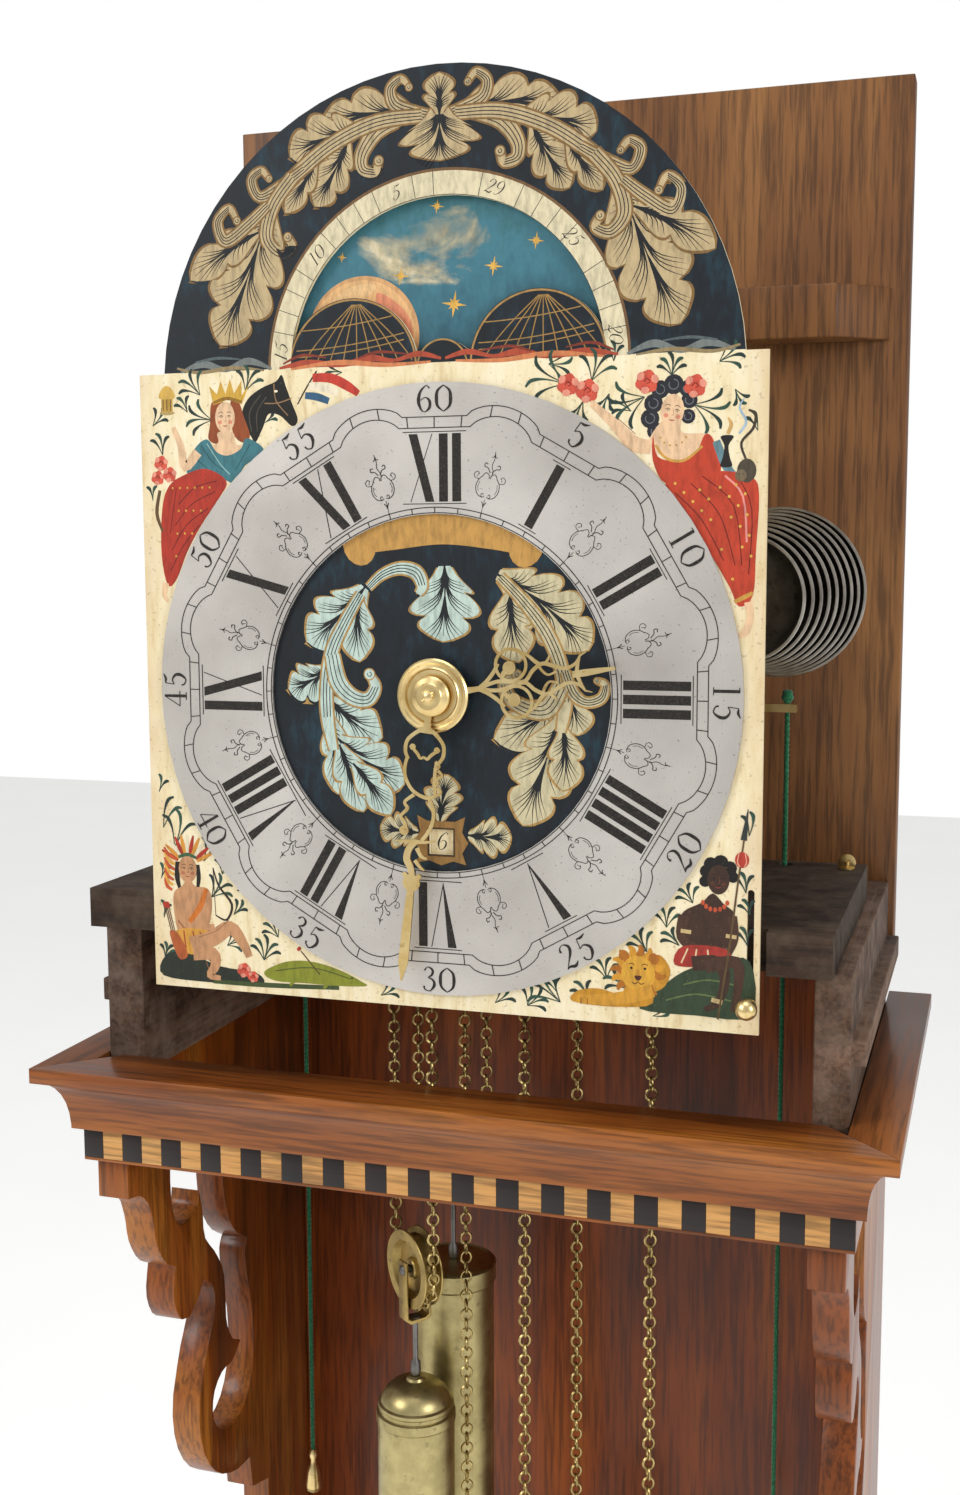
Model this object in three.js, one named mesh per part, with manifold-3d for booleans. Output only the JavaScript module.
// Dutch musical tail clock: a weight-driven wall clock shown with its hood off.
// Units are millimetres. +Z is up, +X is to the right of the dial and the dial looks along -Y.
// The origin lies on the wall plane, straight behind the centre of the dial.

import * as THREE from 'three';
import { mergeVertices } from 'three/addons/utils/BufferGeometryUtils.js';
import Module from 'manifold-3d';

const wasm = await Module();
wasm.setup();

// ---- Driving dimensions ----

const GAP = 0.3; // air between pieces that touch
const CASE_X = 1.5; // the case stands a little to the right of the dial's centre

const DIAL_FRONT = -260; // front face of the dial plate
const DIAL_THICK = 2.2;
const DIAL_HALF = 152.5;
const DIAL_BOTTOM_Z = -151;
const ARCH_R = 141;
const ARCH_CENTRE_Z = 143;
const ARCH_X = 1.7;
const RING_R = 144;
const RING_INNER_R = 84;
const RING_THICK = 1.4;
const MOON_X = 4;
const MOON_Z = 151;
const MOON_OPENING_R = 76;
const MOON_DISC_R = 80;
const HUMP_R = 32.5;

const BACKBOARD_THICK = 18;
const PANEL_INNER = 174.5; // half the clear width between the scroll side panels
const PANEL_THICK = 17.4;
const TAIL_BOTTOM_Z = -905;
const TAIL_FRONT_Y = -100; // front edges of the side panels below the scrolls
const TAIL_BOARD_Y = -39; // front face of the board behind the weights

const TRAY_TOP_Z = -194;
const TRAY_HALF = 215.8;
const TRAY_FRONT_Y = -282.7;
const TRAY_INNER_HALF = 191.2;
const FASCIA_H = 8;
const COVE_H = 25;
const COVE_IN = 14.5;
const COVE_STEP = 5;
const FRIEZE_BOTTOM_Z = -247;

const SEAT_TOP_Z = -104;
const SEAT_THICK = 20;

const PLATE_FRONT_Y = -236; // outer face of the movement's front plate
const PLATE_BACK_Y = -109.5; // outer face of its back plate
const PLATE_THICK = 2.5;
const PLATE_LEFT = -78;
const PLATE_RIGHT = 80;
const PLATE_TOP_Z = 116;
const ARBOR_Z = -50; // height of the three chain-wheel arbors

const BELL_X = 133.5;
const BELL_Z = 44;
const BELL_COUNT = 9;
const BELL_BIG_R = 46.7;
const BELL_R_STEP = 2;
const BELL_BACK_Y = -71; // mouth of the largest bell
const BELL_PITCH = 17.5;

const PULLEY_R = 21;
const GROOVE_R = 17;
const CHAIN_R = 2.6; // radius of the tube that stands for a chain

// ---- Materials ----

const paint = (color, roughness, metalness) =>
  new THREE.MeshStandardMaterial({ color, roughness, metalness });
const polishedWood = () => paint(0x6e2410, 0.35, 0);
const tailWood = () => paint(0x5c2410, 0.4, 0);
const oldOak = () => paint(0x4a352a, 0.85, 0);
const backOak = () => paint(0x6b432a, 0.6, 0);
const brass = () => paint(0xb08d4a, 0.35, 1);
const agedBrass = () => paint(0x8f7d45, 0.45, 1);
const steel = () => paint(0x77787c, 0.4, 1);
const bellMetal = () => paint(0x8d8f8e, 0.35, 1);
const silvered = () => paint(0xb9b9b7, 0.45, 1);
const dialPaint = () => paint(0xe6d9b8, 0.5, 0);
const greenCord = () => paint(0x1f5a38, 0.9, 0);

// ---- Geometry helpers ----

// One closed indexed mesh with its faces outward and no zero-width triangles.
function closed(geometry) {
  const bare = new THREE.BufferGeometry();
  bare.setAttribute('position', geometry.getAttribute('position').clone());
  if (geometry.index) bare.setIndex(geometry.index.clone());
  const merged = mergeVertices(bare, 1e-4);
  const old = merged.index.array;
  const points = merged.getAttribute('position');
  const triangles = [];
  for (let i = 0; i < old.length; i += 3) {
    const [a, b, c] = [old[i], old[i + 1], old[i + 2]];
    if (a !== b && b !== c && c !== a) triangles.push(a, b, c);
  }
  let volume = 0;
  const [p, q, r] = [new THREE.Vector3(), new THREE.Vector3(), new THREE.Vector3()];
  for (let i = 0; i < triangles.length; i += 3) {
    p.fromBufferAttribute(points, triangles[i]);
    q.fromBufferAttribute(points, triangles[i + 1]);
    r.fromBufferAttribute(points, triangles[i + 2]);
    volume += p.dot(q.cross(r));
  }
  if (volume < 0) triangles.reverse();
  merged.setIndex(triangles);
  return merged;
}

function solid(geometry) {
  const mesh = closed(geometry);
  const vertProperties = new Float32Array(mesh.getAttribute('position').array);
  const triVerts = new Uint32Array(mesh.index.array);
  return new wasm.Manifold(new wasm.Mesh({ numProp: 3, vertProperties, triVerts }));
}

function fromSolid(manifold) {
  const mesh = manifold.getMesh();
  const geometry = new THREE.BufferGeometry();
  geometry.setAttribute('position', new THREE.BufferAttribute(mesh.vertProperties, 3));
  geometry.setIndex(new THREE.BufferAttribute(mesh.triVerts, 1));
  return geometry;
}

const join = (...parts) => fromSolid(parts.map(solid).reduce((a, b) => a.add(b)));
const cut = (body, ...tools) => fromSolid(tools.map(solid).reduce((a, b) => a.subtract(b), solid(body)));
const keep = (body, tool) => fromSolid(solid(body).intersect(solid(tool)));

function block(x0, x1, y0, y1, z0, z1) {
  const box = new THREE.BoxGeometry(x1 - x0, y1 - y0, z1 - z0);
  return box.translate((x0 + x1) / 2, (y0 + y1) / 2, (z0 + z1) / 2);
}

// An outline drawn in X and Z, given thickness from y0 to y1.
function sheetXZ(shape, y0, y1, curveSegments = 24) {
  const flat = new THREE.ExtrudeGeometry(shape, { depth: y1 - y0, bevelEnabled: false, curveSegments });
  return flat.rotateX(Math.PI / 2).translate(0, y1, 0);
}

// An outline drawn in Y and Z, given thickness from x0 to x1.
function sheetYZ(shape, x0, x1, curveSegments = 8) {
  const flat = new THREE.ExtrudeGeometry(shape, { depth: x1 - x0, bevelEnabled: false, curveSegments });
  const turn = new THREE.Matrix4().makeBasis(
    new THREE.Vector3(0, 1, 0), new THREE.Vector3(0, 0, 1), new THREE.Vector3(1, 0, 0));
  return flat.applyMatrix4(turn).translate(x0, 0, 0);
}

// A turned piece about an axis along Y. Its profile is a list of [radius, y].
function turnedY(profile, x, z, segments = 20) {
  const points = profile.map(([radius, y]) => new THREE.Vector2(radius, y));
  return new THREE.LatheGeometry(points, segments).translate(x, 0, z);
}

// A turned piece about an upright axis. Its profile is a list of [radius, z].
function turnedZ(profile, x, y, segments = 24) {
  const points = profile.map(([radius, z]) => new THREE.Vector2(radius, z));
  return new THREE.LatheGeometry(points, segments).rotateX(Math.PI / 2).translate(x, y, 0);
}

const rodY = (radius, y0, y1, x, z, segments = 16) =>
  turnedY([[0, y0], [radius, y0], [radius, y1], [0, y1]], x, z, segments);
const rodZ = (radius, z0, z1, x, y, segments = 16) =>
  turnedZ([[0, z0], [radius, z0], [radius, z1], [0, z1]], x, y, segments);

// A curve through given points that keeps their spacing, so bends stay fine and straights stay cheap.
class Route extends THREE.Curve {
  constructor(points) {
    super();
    this.points = points;
  }

  getPoint(t) {
    const last = this.points.length - 1;
    const place = Math.min(Math.max(t, 0), 1) * last;
    const i = Math.min(Math.floor(place), last - 1);
    return new THREE.Vector3().lerpVectors(this.points[i], this.points[i + 1], place - i);
  }

  getPointAt(t) {
    return this.getPoint(t);
  }

  getTangent(t) {
    const last = this.points.length - 1;
    const i = Math.round(t * last);
    const before = this.points[Math.max(i - 1, 0)];
    const after = this.points[Math.min(i + 1, last)];
    return after.clone().sub(before).normalize();
  }

  getTangentAt(t) {
    return this.getTangent(t);
  }

  getSpacedPoints(count) {
    return this.getPoints(count);
  }
}

function tube(points, radius, sides = 8) {
  const section = new THREE.Shape();
  for (let i = 0; i < sides; i += 1) {
    const a = (2 * Math.PI * i) / sides;
    if (i === 0) section.moveTo(radius * Math.cos(a), radius * Math.sin(a));
    else section.lineTo(radius * Math.cos(a), radius * Math.sin(a));
  }
  section.closePath();
  const extrudePath = new Route(points);
  return new THREE.ExtrudeGeometry(section, { steps: points.length - 1, extrudePath });
}

function ringShape(outer, inner) {
  const shape = new THREE.Shape().absarc(0, 0, outer, 0, 2 * Math.PI);
  shape.holes.push(new THREE.Path().absarc(0, 0, inner, 0, 2 * Math.PI));
  return shape;
}

// A toothed wheel with its crossings cut out, in its own plane.
function wheelShape(radius, teeth, bore, spokes, hub, rim) {
  const shape = new THREE.Shape();
  const depth = (Math.PI * radius) / teeth;
  for (let i = 0; i < teeth; i += 1) {
    const a = (2 * Math.PI * i) / teeth;
    const b = (2 * Math.PI * (i + 0.5)) / teeth;
    const root = radius - depth;
    if (i === 0) shape.moveTo(radius, 0);
    else shape.lineTo(radius * Math.cos(a), radius * Math.sin(a));
    shape.lineTo(root * Math.cos(b), root * Math.sin(b));
  }
  shape.closePath();
  if (bore > 0) shape.holes.push(new THREE.Path().absarc(0, 0, bore, 0, 2 * Math.PI));
  const outer = radius - depth - rim;
  for (let i = 0; i < spokes; i += 1) {
    const start = (2 * Math.PI * i) / spokes + 0.16;
    const end = (2 * Math.PI * (i + 1)) / spokes - 0.16;
    const hole = new THREE.Path();
    hole.absarc(0, 0, outer, start, end);
    hole.absarc(0, 0, hub, end - 0.16, start + 0.16, true);
    hole.closePath();
    shape.holes.push(hole);
  }
  return shape;
}

const clock = new THREE.Group();

function add(name, geometry, material) {
  const mesh = new THREE.Mesh(closed(geometry), material);
  mesh.name = name;
  clock.add(mesh);
}

// ---- Wall boards ----

add('backboard', block(-212, 195.5, -BACKBOARD_THICK, 0, -170, 327), backOak());
// The batten's right-hand end is bevelled back to the board.
function batten() {
  const outline = new THREE.Shape([
    new THREE.Vector2(-60, BACKBOARD_THICK + GAP), new THREE.Vector2(-60, 44),
    new THREE.Vector2(158, 44), new THREE.Vector2(186, BACKBOARD_THICK + GAP)]);
  const bar = new THREE.ExtrudeGeometry(outline, { depth: 29, bevelEnabled: false });
  return bar.scale(1, -1, 1).translate(0, 0, 184);
}

add('backboard_batten', batten(), backOak());

const panelLeftX = CASE_X - PANEL_INNER;
const panelRightX = CASE_X + PANEL_INNER;
add('tail_back_board', block(panelLeftX + GAP, panelRightX - GAP, -6, 0,
  TAIL_BOTTOM_Z, -170 - GAP), tailWood());
add('tail_front_board', join(
  block(panelLeftX + GAP, panelRightX - GAP, TAIL_BOARD_Y, TAIL_BOARD_Y + 7,
    TAIL_BOTTOM_Z + 14 + GAP, TRAY_TOP_Z - 11),
  block(panelLeftX + 5, panelRightX - 5, TAIL_BOARD_Y, TAIL_BOARD_Y + 7,
    TRAY_TOP_Z - 12, SEAT_TOP_Z - SEAT_THICK - 2)), tailWood());
add('tail_bottom_board', block(panelLeftX + GAP, panelRightX - GAP, TAIL_FRONT_Y, -6 - GAP,
  TAIL_BOTTOM_Z, TAIL_BOTTOM_Z + 14), tailWood());

// ---- Scroll side panels ----

// The panel's outline in Y and Z: a scrolled bracket above, a plain upright below.
function sidePanelShape() {
  const p = (y, z) => new THREE.Vector2(y, z);
  const shape = new THREE.Shape();
  shape.moveTo(0, TRAY_TOP_Z - 10 - GAP);
  shape.lineTo(0, TAIL_BOTTOM_Z);
  shape.lineTo(TAIL_FRONT_Y, TAIL_BOTTOM_Z);
  shape.lineTo(TAIL_FRONT_Y, -512);
  shape.lineTo(-122, -505);
  shape.lineTo(-125, -484);
  shape.splineThru([p(-145, -482), p(-168, -470), p(-184, -448), p(-188, -420), p(-177, -390)]);
  shape.splineThru([p(-166, -370), p(-168, -355), p(-179, -347)]);
  shape.splineThru([p(-186, -355), p(-196, -361)]);
  shape.splineThru([p(-207, -357), p(-214, -342), p(-211, -325)]);
  shape.splineThru([p(-222, -318), p(-231, -304), p(-234, -290), p(-238, -279)]);
  shape.splineThru([p(-246, -271), p(-259, -268)]);
  shape.lineTo(-259, FRIEZE_BOTTOM_Z - GAP);
  shape.lineTo(-247.5, FRIEZE_BOTTOM_Z - GAP);
  shape.lineTo(-247.5, TRAY_TOP_Z - 10 - GAP);
  shape.closePath();
  shape.holes.push(sidePanelOpening());
  return shape;
}

// The pierced opening between the front S-scroll and the wall side of the panel.
function sidePanelOpening() {
  const p = (y, z) => new THREE.Vector2(y, z);
  const hole = new THREE.Path();
  hole.moveTo(-213, -252);
  hole.splineThru([p(-214, -280), p(-210, -298), p(-201, -305), p(-190, -303)]);
  hole.splineThru([p(-184, -300), p(-182, -292)]);
  hole.splineThru([p(-178, -305), p(-176, -322), p(-164, -336), p(-154, -352), p(-152, -372)]);
  hole.splineThru([p(-151, -386), p(-143, -400), p(-134, -404)]);
  hole.splineThru([p(-145, -412), p(-158, -412), p(-169, -420), p(-171, -434), p(-164, -445)]);
  hole.splineThru([p(-148, -452), p(-130, -446), p(-119, -428), p(-117, -400), p(-125, -364)]);
  hole.splineThru([p(-126, -352), p(-122, -345)]);
  hole.splineThru([p(-138, -334), p(-149, -316), p(-153, -290), p(-150, -252)]);
  hole.closePath();
  return hole;
}

add('side_panel_left', sheetYZ(sidePanelShape(), panelLeftX - PANEL_THICK, panelLeftX, 2), polishedWood());
add('side_panel_right', sheetYZ(sidePanelShape(), panelRightX, panelRightX + PANEL_THICK, 2), polishedWood());

// ---- Cornice tray ----

// Section of the moulding: u runs inward from the outer face, z is the height.
function corniceSection(innerDepth, foot) {
  const top = TRAY_TOP_Z;
  const shape = new THREE.Shape();
  const friezeIn = COVE_IN + COVE_STEP;
  shape.moveTo(0, top);
  shape.lineTo(0, top - FASCIA_H);
  shape.lineTo(3, top - FASCIA_H);
  shape.quadraticCurveTo(COVE_IN - 1, top - FASCIA_H - 4, COVE_IN, top - FASCIA_H - COVE_H);
  shape.lineTo(COVE_IN, top - FASCIA_H - COVE_H - 2);
  shape.lineTo(friezeIn, top - FASCIA_H - COVE_H - 2);
  shape.lineTo(friezeIn, FRIEZE_BOTTOM_Z);
  shape.lineTo(foot, FRIEZE_BOTTOM_Z);
  shape.lineTo(foot, top - 10);
  shape.lineTo(innerDepth, top - 10);
  shape.lineTo(innerDepth, top);
  shape.closePath();
  return shape;
}

const trayLeft = CASE_X - TRAY_HALF;
const trayRight = CASE_X + TRAY_HALF;
const trayTopDepth = TRAY_HALF - TRAY_INNER_HALF;
const mitreFar = 300;

// The three lengths meet at mitres that run in from the two front corners.
function mitreWedge(side) {
  const corner = side < 0 ? trayLeft : trayRight;
  const clear = 1.5 * GAP;
  const wedge = new THREE.Shape([
    new THREE.Vector2(corner + side * 20, TRAY_FRONT_Y - 20 + clear),
    new THREE.Vector2(corner - side * mitreFar, TRAY_FRONT_Y + mitreFar + clear),
    new THREE.Vector2(corner - side * mitreFar, TRAY_FRONT_Y - 60),
    new THREE.Vector2(corner + side * 20, TRAY_FRONT_Y - 60)]);
  const depth = 120;
  return new THREE.ExtrudeGeometry(wedge, { depth, bevelEnabled: false }).translate(0, 0, TRAY_TOP_Z - 100);
}

function corniceSide(side) {
  const section = corniceSection(trayTopDepth, TRAY_HALF - PANEL_INNER - PANEL_THICK - GAP);
  const length = -TRAY_FRONT_Y;
  const bar = new THREE.ExtrudeGeometry(section, { depth: length, bevelEnabled: false, curveSegments: 6 });
  bar.rotateX(Math.PI / 2).scale(side < 0 ? 1 : -1, 1, 1);
  bar.translate(side < 0 ? trayLeft : trayRight, 0, 0);
  return cut(bar, mitreWedge(side));
}

function corniceFront() {
  const section = corniceSection(35, 34.8);
  const bar = new THREE.ExtrudeGeometry(section, {
    depth: 2 * TRAY_HALF, bevelEnabled: false, curveSegments: 6 });
  const turn = new THREE.Matrix4().makeBasis(
    new THREE.Vector3(0, 1, 0), new THREE.Vector3(0, 0, 1), new THREE.Vector3(1, 0, 0));
  bar.applyMatrix4(turn).translate(trayLeft, TRAY_FRONT_Y, 0);
  const wedge = new THREE.Shape([
    new THREE.Vector2(trayLeft, TRAY_FRONT_Y),
    new THREE.Vector2(trayRight, TRAY_FRONT_Y),
    new THREE.Vector2(trayRight - 60, TRAY_FRONT_Y + 60),
    new THREE.Vector2(trayLeft + 60, TRAY_FRONT_Y + 60)]);
  const zone = new THREE.ExtrudeGeometry(wedge, { depth: 120, bevelEnabled: false });
  return keep(bar, zone.translate(0, 0, TRAY_TOP_Z - 100));
}

// The inlaid strip sits proud of the frieze by a veneer's thickness.
const friezeFrontY = TRAY_FRONT_Y + COVE_IN + COVE_STEP;
const friezeHalf = TRAY_HALF - COVE_IN - COVE_STEP;
const friezeTopZ = TRAY_TOP_Z - FASCIA_H - COVE_H - 2;
add('cornice_front', corniceFront(), polishedWood());
add('cornice_left', corniceSide(-1), polishedWood());
add('cornice_right', corniceSide(1), polishedWood());
add('frieze_inlay', block(CASE_X - friezeHalf, CASE_X + friezeHalf, friezeFrontY - GAP - 1,
  friezeFrontY - GAP, FRIEZE_BOTTOM_Z + 0.5, friezeTopZ - GAP), paint(0xc9894a, 0.4, 0));

// ---- Cheeks and seat board ----

const cheekInnerLeft = 170;
const cheekInnerRight = 174;
const cheekOuter = 190.7;
const cheekFrontY = -245.5;
const cheekTopZ = SEAT_TOP_Z - SEAT_THICK - GAP;

// A cheek carries the seat board, and its outer rail guides the hood as it slides on.
function cheek(side) {
  const inner = side < 0 ? CASE_X - cheekInnerLeft : CASE_X + cheekInnerRight;
  const outer = CASE_X + side * cheekOuter;
  const rail = CASE_X + side * (cheekOuter + 6.5);
  const board = block(Math.min(inner, outer), Math.max(inner, outer), cheekFrontY,
    -BACKBOARD_THICK - GAP, TRAY_TOP_Z - 10, cheekTopZ);
  const runner = block(Math.min(outer - side, rail), Math.max(outer - side, rail), cheekFrontY + 6,
    -BACKBOARD_THICK - GAP, -168, -156);
  return join(board, runner);
}

add('cheek_left', cheek(-1), oldOak());
add('cheek_right', cheek(1), oldOak());

// A chain hangs from a hook in the seat board, runs under its pulley, up and over its sprocket.
const rideR = GROOVE_R + CHAIN_R + GAP;
const pulleyA = new THREE.Vector3(-35.8, -201, -311);
const acrossA = new THREE.Vector3(0.765, -0.643, 0).normalize();
const axisA = new THREE.Vector3(0.643, 0.765, 0).normalize();
const pulleyB = new THREE.Vector3(-31.2, -151, -262);
const acrossB = new THREE.Vector3(1, 0, 0);
const axisB = new THREE.Vector3(0, 1, 0);
const hookA = pulleyA.clone().addScaledVector(acrossA, rideR);
const hookB = pulleyB.clone().addScaledVector(acrossB, -rideR);
const riseA = pulleyA.clone().addScaledVector(acrossA, -rideR);
const riseB = pulleyB.clone().addScaledVector(acrossB, rideR);
const sprockets = {
  a: { x: riseA.x + 19.85, y: riseA.y, r: 19.85 },
  b: { x: riseB.x + 25.7, y: riseB.y, r: 25.7 },
  c: { x: 58.3, y: -201, r: 33.1 },
};
const cordLeft = { x: -147, y: -89 };
const cordRight = { x: 141, y: -89 };
const seatHoles = [
  [sprockets.a.x - sprockets.a.r, sprockets.a.y, 8],
  [sprockets.a.x + sprockets.a.r, sprockets.a.y, 8],
  [hookA.x, hookA.y, 8],
  [sprockets.b.x - sprockets.b.r, sprockets.b.y, 8],
  [sprockets.b.x + sprockets.b.r, sprockets.b.y, 8],
  [hookB.x, hookB.y, 8],
  [sprockets.c.x - sprockets.c.r, sprockets.c.y, 8],
  [sprockets.c.x + sprockets.c.r, sprockets.c.y, 8],
  [cordRight.x, cordRight.y, 5],
  [-166, -150, 4],
];

function seatBoard() {
  const board = block(-191, 184.5, -257.2, -78, SEAT_TOP_Z - SEAT_THICK, SEAT_TOP_Z);
  const holes = seatHoles.map(([x, y, r]) => rodZ(r, SEAT_TOP_Z - 40, SEAT_TOP_Z + 20, x, y, 12));
  const knobNotch = block(141, 155, -260, -249, SEAT_TOP_Z - 40, SEAT_TOP_Z + 20);
  return cut(board, knobNotch, ...holes);
}

add('seat_board', seatBoard(), oldOak());
add('seat_screw', turnedZ([[0, SEAT_TOP_Z + GAP], [4.5, SEAT_TOP_Z + GAP], [4.5, SEAT_TOP_Z + 1.5],
  [1.8, SEAT_TOP_Z + 2.5], [1.8, SEAT_TOP_Z + 4.5], [5, SEAT_TOP_Z + 6], [5, SEAT_TOP_Z + 7.5],
  [0, SEAT_TOP_Z + 8.5]], 175, -95, 16), brass());

// ---- Dial ----

// The dial: a square with a round arch on top, pierced for the moon, the date and the tune lever.
function dialShape() {
  const shape = new THREE.Shape();
  const startAngle = Math.asin((DIAL_HALF - ARCH_CENTRE_Z) / ARCH_R);
  shape.moveTo(-DIAL_HALF, DIAL_BOTTOM_Z);
  shape.lineTo(DIAL_HALF, DIAL_BOTTOM_Z);
  shape.lineTo(DIAL_HALF, DIAL_HALF);
  shape.lineTo(ARCH_X + ARCH_R * Math.cos(startAngle), DIAL_HALF);
  shape.absarc(ARCH_X, ARCH_CENTRE_Z, ARCH_R, startAngle, Math.PI - startAngle);
  shape.lineTo(-DIAL_HALF, DIAL_HALF);
  shape.closePath();
  shape.holes.push(moonOpening());
  const date = new THREE.Path();
  date.moveTo(-4.5, -76);
  date.lineTo(7.5, -76);
  date.lineTo(7.5, -64);
  date.lineTo(-4.5, -64);
  date.closePath();
  shape.holes.push(date, new THREE.Path().absarc(0, 0, 8, 0, 2 * Math.PI));
  const slot = new THREE.Path();
  slot.absarc(148.2, -137.5, 1.6, Math.PI, 2 * Math.PI);
  slot.absarc(148.2, -86, 1.6, 0, Math.PI);
  slot.closePath();
  shape.holes.push(slot);
  return shape;
}

// A half-round window whose lower edge rises in two humps that hide and show the moon.
function moonOpening() {
  const sill = 157;
  const humpX = 45;
  const humpZ = 151;
  const rise = Math.asin((sill - MOON_Z) / MOON_OPENING_R);
  const humpEdge = Math.sqrt(HUMP_R ** 2 - (sill - humpZ) ** 2);
  const humpAngle = Math.asin((sill - humpZ) / HUMP_R);
  const path = new THREE.Path();
  path.moveTo(MOON_X + humpX + humpEdge, sill);
  path.lineTo(MOON_X + MOON_OPENING_R * Math.cos(rise), sill);
  path.absarc(MOON_X, MOON_Z, MOON_OPENING_R, rise, Math.PI - rise);
  path.lineTo(MOON_X - humpX - humpEdge, sill);
  path.absarc(MOON_X - humpX, humpZ, HUMP_R, Math.PI - humpAngle, humpAngle, true);
  path.quadraticCurveTo(MOON_X, sill + 12, MOON_X + humpX - humpEdge, sill);
  path.absarc(MOON_X + humpX, humpZ, HUMP_R, Math.PI - humpAngle, humpAngle, true);
  path.closePath();
  return path;
}

const dialBackY = DIAL_FRONT + DIAL_THICK;
const footLength = PLATE_FRONT_Y - GAP - dialBackY;

function dialPlate() {
  const plate = sheetXZ(dialShape(), DIAL_FRONT, dialBackY, 18);
  const feet = [[-70, 92], [72, 92], [-70, -92], [72, -92]].map(([x, z]) =>
    rodY(3.2, dialBackY - 0.5, dialBackY + footLength, x, z, 10));
  return join(plate, ...feet);
}

add('dial_plate', dialPlate(), dialPaint());
add('chapter_ring', sheetXZ(ringShape(RING_R, RING_INNER_R), DIAL_FRONT - GAP - RING_THICK,
  DIAL_FRONT - GAP, 32), silvered());

const discY = dialBackY + GAP;
add('date_ring', sheetXZ(ringShape(79.5, 58), discY + 0.2, discY + 1.2, 24), dialPaint());
const moonDisc = sheetXZ(ringShape(MOON_DISC_R, 3), discY + 1.8, discY + 2.8, 24);
add('moon_disc', moonDisc.translate(MOON_X, 0, MOON_Z), paint(0x2f6f86, 0.5, 0));

// The tune lever: a round knob on a stem that passes through the slot to a slide behind the dial.
const knobX = 148.2;
const knobZ = -136.8;
add('selector_knob', turnedY([[0, DIAL_FRONT - 14.6], [2.6, DIAL_FRONT - 14], [4.4, DIAL_FRONT - 12],
  [5, DIAL_FRONT - 9.6], [4.4, DIAL_FRONT - 7.2], [2.2, DIAL_FRONT - 5.4], [3.4, DIAL_FRONT - 4],
  [3.4, DIAL_FRONT - 2.4], [1.25, DIAL_FRONT - 2.2], [1.25, dialBackY + 0.6], [3.6, dialBackY + 0.6],
  [3.6, dialBackY + 2.2], [0, dialBackY + 2.2]], knobX, knobZ, 16), brass());

// ---- Hands ----

// Width of an openwork hand along its length: scrolls that swell and pinch around a thin spine.
function handShape(reach, hubOuter, lobes, tip) {
  const shape = new THREE.Shape();
  const side = (sign) => lobes.map(([at, half]) => new THREE.Vector2(sign * half, at));
  shape.moveTo(-lobes[0][1], lobes[0][0]);
  shape.splineThru(side(-1).slice(1));
  shape.lineTo(-tip, reach - 3);
  shape.lineTo(0, reach);
  shape.lineTo(tip, reach - 3);
  shape.splineThru(side(1).reverse());
  shape.lineTo(-lobes[0][1], lobes[0][0]);
  return shape;
}

// Round piercings that turn a blade into scrollwork: [distance, offset, radius].
function pierce(shape, piercings) {
  piercings.forEach(([at, off, radius]) => {
    [-1, 1].forEach((sign) => {
      shape.holes.push(new THREE.Path().absarc(sign * off, at, radius, 0, 2 * Math.PI, false));
    });
  });
  return shape;
}

function hand(shape, angle, frontY, thick, boss) {
  const blade = sheetXZ(shape, frontY, frontY + thick, 3).rotateY(angle);
  return join(blade, boss);
}

// Hours and minutes shown: just after half past two.
const HOUR_ANGLE = (2 + 32 / 60) * (Math.PI / 6) + 0.08;
const MINUTE_ANGLE = 31.1 * (Math.PI / 30);
const hourY = DIAL_FRONT - 6.2;
const minuteY = DIAL_FRONT - 9.6;
const hourShape = pierce(handShape(88, 17, [[15, 2.4], [20, 2.6], [27, 9], [34, 11], [41, 7.5], [46, 4],
  [52, 6], [57, 3], [66, 1.6], [80, 1.3]], 1), [[28, 4.6, 2.6], [35.5, 5.6, 2.9], [51, 2.9, 1.5]]);
const minuteShape = pierce(handShape(137, 9, [[7, 2.2], [14, 2.6], [20, 6], [27, 7], [34, 5], [38, 3],
  [43, 5.2], [49, 6], [54, 4.2], [60, 2.4], [66, 3.4], [71, 1.6], [100, 2.4], [128, 2.2]], 1),
[[21, 3.2, 1.8], [28, 3.7, 2], [46, 3, 1.8]]);

const pipeRadius = 4.6;
const hourBoss = turnedY([[pipeRadius, hourY - 1.4], [13, hourY - 1.4], [17.5, hourY - 0.6],
  [17.5, hourY + 1], [7, hourY + 1.6], [7, PLATE_FRONT_Y - 6], [pipeRadius, PLATE_FRONT_Y - 6],
  [pipeRadius, hourY - 1.4]], 0, 0, 32);
add('hour_hand', hand(hourShape, HOUR_ANGLE, hourY - 0.5, 1.2, hourBoss), brass());

const arborRadius = 3;
const minuteBoss = turnedY([[0, minuteY - 5], [2, minuteY - 4.8], [2.4, minuteY - 3], [5, minuteY - 2],
  [7.5, minuteY - 1.2], [9.5, minuteY - 0.6], [9.5, minuteY + 1], [arborRadius, minuteY + 1.4],
  [arborRadius, PLATE_BACK_Y - PLATE_THICK - 4], [1.6, PLATE_BACK_Y - PLATE_THICK - 4],
  [1.6, PLATE_BACK_Y - 0.5], [0, PLATE_BACK_Y - 0.5]], 0, 0, 24);
add('minute_hand', hand(minuteShape, MINUTE_ANGLE, minuteY - 0.4, 1, minuteBoss), brass());

// ---- Movement frame ----

const arbors = {
  centre: [0, 0], escape: [0, 66], anchor: [0, 96],
  a: [sprockets.a.x, ARBOR_Z], b: [sprockets.b.x, ARBOR_Z], c: [sprockets.c.x, ARBOR_Z],
  barrel: [52, 62],
};

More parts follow.
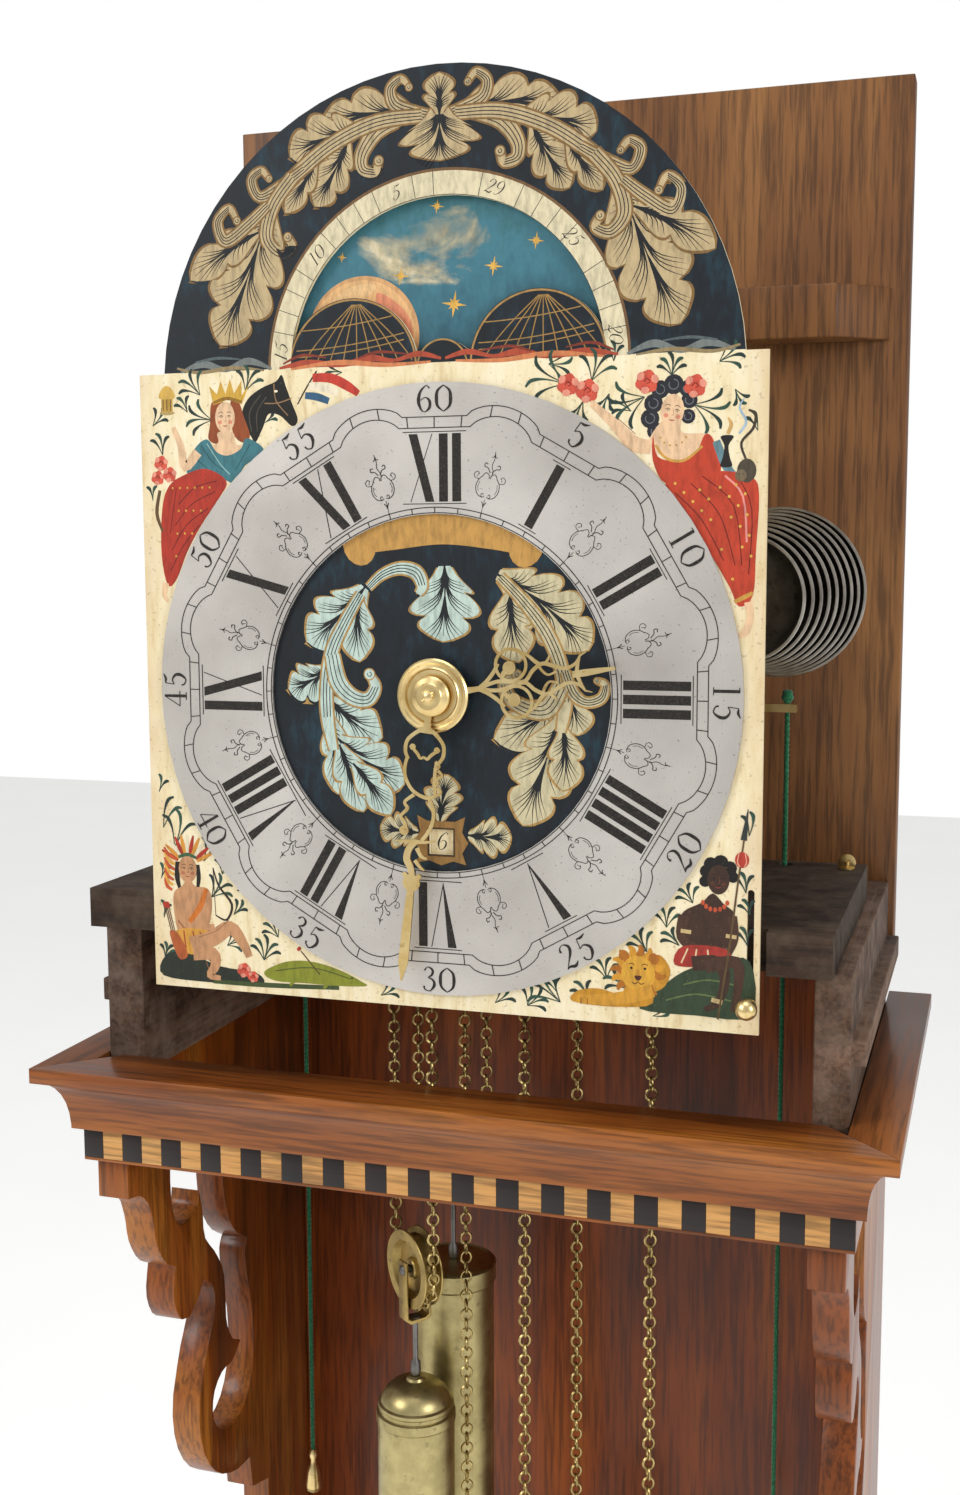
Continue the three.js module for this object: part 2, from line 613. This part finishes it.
function movementPlate(y0, y1, pivotRadius) {
  const plate = block(PLATE_LEFT, PLATE_RIGHT, y0, y1, SEAT_TOP_Z + GAP, PLATE_TOP_Z);
  const holes = Object.entries(arbors).map(([name, [x, z]]) =>
    rodY(pivotRadius(name), y0 - 2, y1 + 2, x, z, 12));
  return cut(plate, ...holes);
}

const frontInner = PLATE_FRONT_Y + PLATE_THICK;
const backInner = PLATE_BACK_Y - PLATE_THICK;
const pillars = [[-68, -92], [70, -92], [-68, 104], [70, 104]].map(([x, z]) =>
  turnedY([[0, frontInner + GAP], [4.5, frontInner + GAP], [4.5, frontInner + 8], [6, -175],
    [4.5, backInner - 8], [4.5, backInner + 0.5], [0, backInner + 0.5]], x, z, 12));
const frontHole = (name) => (name === 'centre' ? arborRadius + 0.5 : 2.1);
add('movement_front_plate', movementPlate(PLATE_FRONT_Y, frontInner, frontHole), steel());
add('movement_back_plate', join(movementPlate(backInner, PLATE_BACK_Y, () => 2.1), ...pillars), steel());

// ---- Trains ----

// One chain-driven great wheel: arbor, grooved chain sprocket and toothed wheel in one piece.
function greatWheel({ x, y, r }, wheelY, radius, teeth) {
  const arbor = turnedY([[0, PLATE_FRONT_Y + 0.4], [1.6, PLATE_FRONT_Y + 0.4], [1.6, frontInner + GAP],
    [3.5, frontInner + GAP], [3.5, backInner - GAP], [1.6, backInner - GAP], [1.6, PLATE_BACK_Y - 0.4],
    [0, PLATE_BACK_Y - 0.4]], x, ARBOR_Z, 12);
  const inner = r - CHAIN_R - 0.6;
  const sprocket = turnedY([[0, y - 6], [inner + 3.4, y - 6], [inner + 3.4, y - 4.4], [inner, y - 3.2],
    [inner, y + 3.2], [inner + 3.4, y + 4.4], [inner + 3.4, y + 6], [0, y + 6]], x, ARBOR_Z, 16);
  const wheel = sheetXZ(wheelShape(radius, teeth, 0, 4, 8, 5), wheelY, wheelY + 2.4, 3);
  return join(arbor, sprocket, wheel.translate(x, 0, ARBOR_Z));
}

add('going_great_wheel', greatWheel(sprockets.a, -178, 33, 32), agedBrass());
add('strike_great_wheel', greatWheel(sprockets.b, -146, 33, 32), agedBrass());
add('music_great_wheel', greatWheel(sprockets.c, -222, 34, 32), agedBrass());

const centreWheel = sheetXZ(wheelShape(28, 28, arborRadius + GAP, 4, 8, 4), -172, -170, 4);
add('centre_wheel', centreWheel, agedBrass());

// An arbor between the plates with thin pivots that run in them.
const arborProfile = (radius) => [[0, PLATE_FRONT_Y + 0.4], [1.6, PLATE_FRONT_Y + 0.4],
  [1.6, frontInner + GAP], [radius, frontInner + GAP], [radius, backInner - GAP],
  [1.6, backInner - GAP], [1.6, PLATE_BACK_Y - 0.4], [0, PLATE_BACK_Y - 0.4]];

const escapeWheel = sheetXZ(wheelShape(19, 20, 0, 3, 6, 3), -160, -158.4, 3).translate(0, 0, 66);
add('escape_wheel', join(turnedY(arborProfile(2.2), 0, 66, 12), escapeWheel), agedBrass());

// The anchor spans the escape wheel and its crutch reaches back to embrace the pendulum rod.
const PENDULUM_Y = -23.5;
function anchor() {
  const arbor = turnedY([[0, PLATE_FRONT_Y + 0.4], [1.6, PLATE_FRONT_Y + 0.4], [1.6, frontInner + GAP],
    [2.4, frontInner + GAP], [2.4, backInner - GAP], [1.6, backInner - GAP], [1.6, -60], [0, -60]],
  0, 96, 12);
  const arms = new THREE.Shape();
  arms.moveTo(-18, -9);
  arms.quadraticCurveTo(-14, 5, 0, 6);
  arms.quadraticCurveTo(14, 5, 18, -9);
  arms.lineTo(15, -9);
  arms.quadraticCurveTo(11, -1, 0, -2);
  arms.quadraticCurveTo(-11, -1, -15, -9);
  arms.closePath();
  const bow = sheetXZ(arms, -160, -158, 4).translate(0, 0, 96);
  const crutch = block(-2, 2, -64, -61, 30, 98);
  const fork = cut(block(-7, 7, -64, PENDULUM_Y + 5, 28, 34),
    block(-3.4, 3.4, PENDULUM_Y - 4, PENDULUM_Y + 6, 20, 40));
  return join(arbor, bow, crutch, fork);
}

add('anchor', anchor(), steel());

// The pendulum hangs from a cock on the wall board and swings behind the tail's front board.
const COCK_Z = 96;
add('suspension_cock', join(block(-16, 16, -21, -BACKBOARD_THICK - GAP, COCK_Z - 6, COCK_Z + 30),
  block(-9, 9, -34, -20, COCK_Z + 6, COCK_Z + 12)), brass());
const bobZ = -760;
add('pendulum_rod', join(rodZ(2.2, bobZ - 52, COCK_Z - 20, 0, PENDULUM_Y, 10),
  block(-4, 4, PENDULUM_Y - 0.6, PENDULUM_Y + 0.6, COCK_Z - 24, COCK_Z + 6 - GAP)), steel());
const bobBody = turnedY([[0, PENDULUM_Y - 7], [20, PENDULUM_Y - 6], [42, PENDULUM_Y - 1],
  [42, PENDULUM_Y + 1], [20, PENDULUM_Y + 6], [0, PENDULUM_Y + 7]], 0, bobZ, 32);
add('pendulum_bob', cut(bobBody, rodZ(2.5, bobZ - 60, bobZ + 60, 0, PENDULUM_Y, 10)), brass());

// The pinned music barrel lies along the bells and is driven by the right-hand train.
add('music_barrel', join(turnedY(arborProfile(2.6), 52, 62, 12),
  turnedY([[0, -218], [23, -218], [23, -122], [21, -122], [21, -216], [0, -216]], 52, 62, 28)), agedBrass());

// ---- Bells ----

// A thin cup whose mouth faces forward; the crown is pierced for the bell rod.
function bell(radius, mouthY) {
  const deep = radius * 0.62;
  const wall = 1.6;
  const rodHole = 3.4;
  const outer = [];
  const inner = [];
  const steps = 4;
  for (let i = 0; i <= steps; i += 1) {
    const a = (i / steps) * (Math.PI / 2);
    const outR = i === steps ? rodHole : radius * Math.cos(a) ** 0.75;
    const inR = i === steps ? rodHole : (radius - wall) * Math.cos(a) ** 0.75;
    outer.push([outR, mouthY + deep * Math.sin(a)]);
    inner.unshift([inR, mouthY + (deep - wall) * Math.sin(a)]);
  }
  return turnedY([...outer, ...inner, outer[0]], BELL_X, BELL_Z, 16);
}

for (let i = 0; i < BELL_COUNT; i += 1) {
  const radius = BELL_BIG_R - BELL_R_STEP * i;
  add(`bell_${i + 1}`, bell(radius, BELL_BACK_Y - BELL_PITCH * i), bellMetal());
}

add('bell_rod', join(
  rodY(3, BELL_BACK_Y - BELL_PITCH * (BELL_COUNT - 1) - 6, -BACKBOARD_THICK - GAP, BELL_X, BELL_Z, 12),
  rodY(13, -24, -BACKBOARD_THICK - GAP, BELL_X, BELL_Z, 20)), steel());

// ---- Repeat lever and cords ----

const leverPivot = [70, -18];
const leverY = PLATE_BACK_Y + GAP;
const lever = join(
  block(leverPivot[0] - 5, cordRight.x + 5, cordRight.y - 3, cordRight.y + 3, -20.2, -15.8),
  turnedY([[0, leverY], [3.5, leverY], [3.5, cordRight.y + 4], [0, cordRight.y + 4]],
    leverPivot[0], leverPivot[1], 14));
add('repeat_lever', cut(lever, rodZ(1.5, -30, -8, cordRight.x, cordRight.y, 10)), brass());

const CORD_R = 1.5;
const PULL_TOP_Z = -494;

function pullGeometry(x, y) {
  return turnedZ([[0, PULL_TOP_Z], [2.2, PULL_TOP_Z], [2.6, PULL_TOP_Z - 6], [1.9, PULL_TOP_Z - 9],
    [4.2, PULL_TOP_Z - 17], [5.2, PULL_TOP_Z - 25], [4.6, PULL_TOP_Z - 27], [0, PULL_TOP_Z - 27.5]],
  x, y, 14);
}

function cordRoute(x, y, top, bottom) {
  const points = [];
  const steps = 20;
  for (let i = 0; i <= steps; i += 1) {
    points.push(new THREE.Vector3(x, y, top + ((bottom - top) * i) / steps));
  }
  return points;
}

const cordBottom = PULL_TOP_Z + GAP;
add('cord_left', tube(cordRoute(cordLeft.x, cordLeft.y, SEAT_TOP_Z - SEAT_THICK - GAP, cordBottom),
  CORD_R), greenCord());
add('cord_left_pull', pullGeometry(cordLeft.x, cordLeft.y), brass());
add('cord_right', tube(cordRoute(cordRight.x, cordRight.y, -20.2 - GAP, cordBottom), CORD_R), greenCord());
add('cord_right_pull', pullGeometry(cordRight.x, cordRight.y), brass());

// ---- Weights, pulleys and chains ----

// Points of an arc in an upright plane through centre, from angle a to angle b.
function arc(centre, across, radius, a, b, steps) {
  const points = [];
  for (let i = 0; i <= steps; i += 1) {
    const angle = a + ((b - a) * i) / steps;
    points.push(centre.clone().addScaledVector(across, radius * Math.cos(angle))
      .add(new THREE.Vector3(0, 0, radius * Math.sin(angle))));
  }
  return points;
}

const seatHookZ = SEAT_TOP_Z - SEAT_THICK + 4;

// A chain goes from its hook in the seat board, under its pulley and over its sprocket to a free tail.
function pulleyChain(hook, pulley, across, sprocket, tailZ) {
  const over = new THREE.Vector3(sprocket.x, sprocket.y, ARBOR_Z);
  const rightward = new THREE.Vector3(1, 0, 0);
  const points = [new THREE.Vector3(hook.x, hook.y, seatHookZ)];
  points.push(...arc(pulley, across, rideR, 0, -Math.PI, 12));
  points.push(...arc(over, rightward, sprocket.r, Math.PI, 0, 12));
  points.push(new THREE.Vector3(sprocket.x + sprocket.r, sprocket.y, tailZ));
  return tube(points, CHAIN_R, 8);
}

// A grooved pulley about its own axis, laid along `axis`.
function pulleyWheel(centre, axis) {
  const wheel = turnedY([[2.4, -5.5], [PULLEY_R, -5.5], [PULLEY_R, -4.3], [GROOVE_R, -3.4],
    [GROOVE_R, 3.4], [PULLEY_R, 4.3], [PULLEY_R, 5.5], [2.4, 5.5], [2.4, -5.5]], 0, 0, 24);
  const turn = new THREE.Quaternion().setFromUnitVectors(new THREE.Vector3(0, 1, 0), axis);
  return wheel.applyQuaternion(turn).translate(centre.x, centre.y, centre.z);
}

// The stirrup: two straps either side of the pulley, the axle between them and the eye below.
function stirrup(centre, axis, reach) {
  const drop = 29;
  const strapA = block(-4.5, 4.5, -7.6, -6.2, -drop, 5);
  const strapB = block(-4.5, 4.5, 6.2, 7.6, -drop, 5);
  const foot = block(-4.5, 4.5, -7.6, 7.6, -drop - 1.6, -drop);
  const axle = rodY(1.9, -8.6, 8.6, 0, 0, 12);
  const shank = rodZ(1.4, -reach, -drop, 0, 0, 10);
  const frame = join(strapA, strapB, foot, axle, shank);
  const turn = new THREE.Quaternion().setFromUnitVectors(new THREE.Vector3(0, 1, 0), axis);
  return frame.applyQuaternion(turn).translate(centre.x, centre.y, centre.z);
}

const TAIL_A_Z = -640;
const TAIL_B_Z = -600;
const TAIL_C_Z = -560;

add('chain_a', pulleyChain(hookA, pulleyA, acrossA, sprockets.a, TAIL_A_Z), agedBrass());
add('chain_b', pulleyChain(hookB, pulleyB, acrossB.clone().negate(), sprockets.b, TAIL_B_Z), agedBrass());
add('pulley_a', pulleyWheel(pulleyA, axisA), agedBrass());
add('pulley_b', pulleyWheel(pulleyB, axisB), agedBrass());
const reachA = 60;
const reachB = 64;
add('pulley_a_stirrup', stirrup(pulleyA, axisA, reachA), agedBrass());
add('pulley_b_stirrup', stirrup(pulleyB, axisB, reachB), agedBrass());

// The front weight has a domed cap, the rear one a flat lid with a rim.
const weightATop = pulleyA.z - reachA - GAP;
add('weight_a', turnedZ([[0, weightATop], [5, weightATop - 0.6], [13, weightATop - 5],
  [18.5, weightATop - 11], [21.4, weightATop - 19], [21.4, weightATop - 23], [20.6, weightATop - 24.5],
  [20.8, weightATop - 120], [21.2, weightATop - 245], [0, weightATop - 245]],
pulleyA.x, pulleyA.y, 28), agedBrass());
const weightBTop = pulleyB.z - reachB - GAP;
add('weight_b', turnedZ([[0, weightBTop], [22, weightBTop - 2], [24, weightBTop - 3],
  [24, weightBTop - 11], [22.8, weightBTop - 12], [22.8, weightBTop - 280], [0, weightBTop - 280]],
pulleyB.x, pulleyB.y, 28), agedBrass());

// The third chain carries its weight straight from its left-hand strand.
const weightCTop = -570;
const overC = new THREE.Vector3(sprockets.c.x, sprockets.c.y, ARBOR_Z);
const routeC = [new THREE.Vector3(sprockets.c.x - sprockets.c.r, sprockets.c.y, weightCTop + GAP),
  ...arc(overC, new THREE.Vector3(1, 0, 0), sprockets.c.r, Math.PI, 0, 14),
  new THREE.Vector3(sprockets.c.x + sprockets.c.r, sprockets.c.y, TAIL_C_Z)];
add('chain_c', tube(routeC, CHAIN_R, 8), agedBrass());
add('weight_c', turnedZ([[0, weightCTop], [2, weightCTop], [2, weightCTop - 18], [20, weightCTop - 22],
  [25, weightCTop - 26], [25, weightCTop - 250], [0, weightCTop - 250]],
sprockets.c.x - sprockets.c.r, sprockets.c.y, 28), agedBrass());

export default clock;
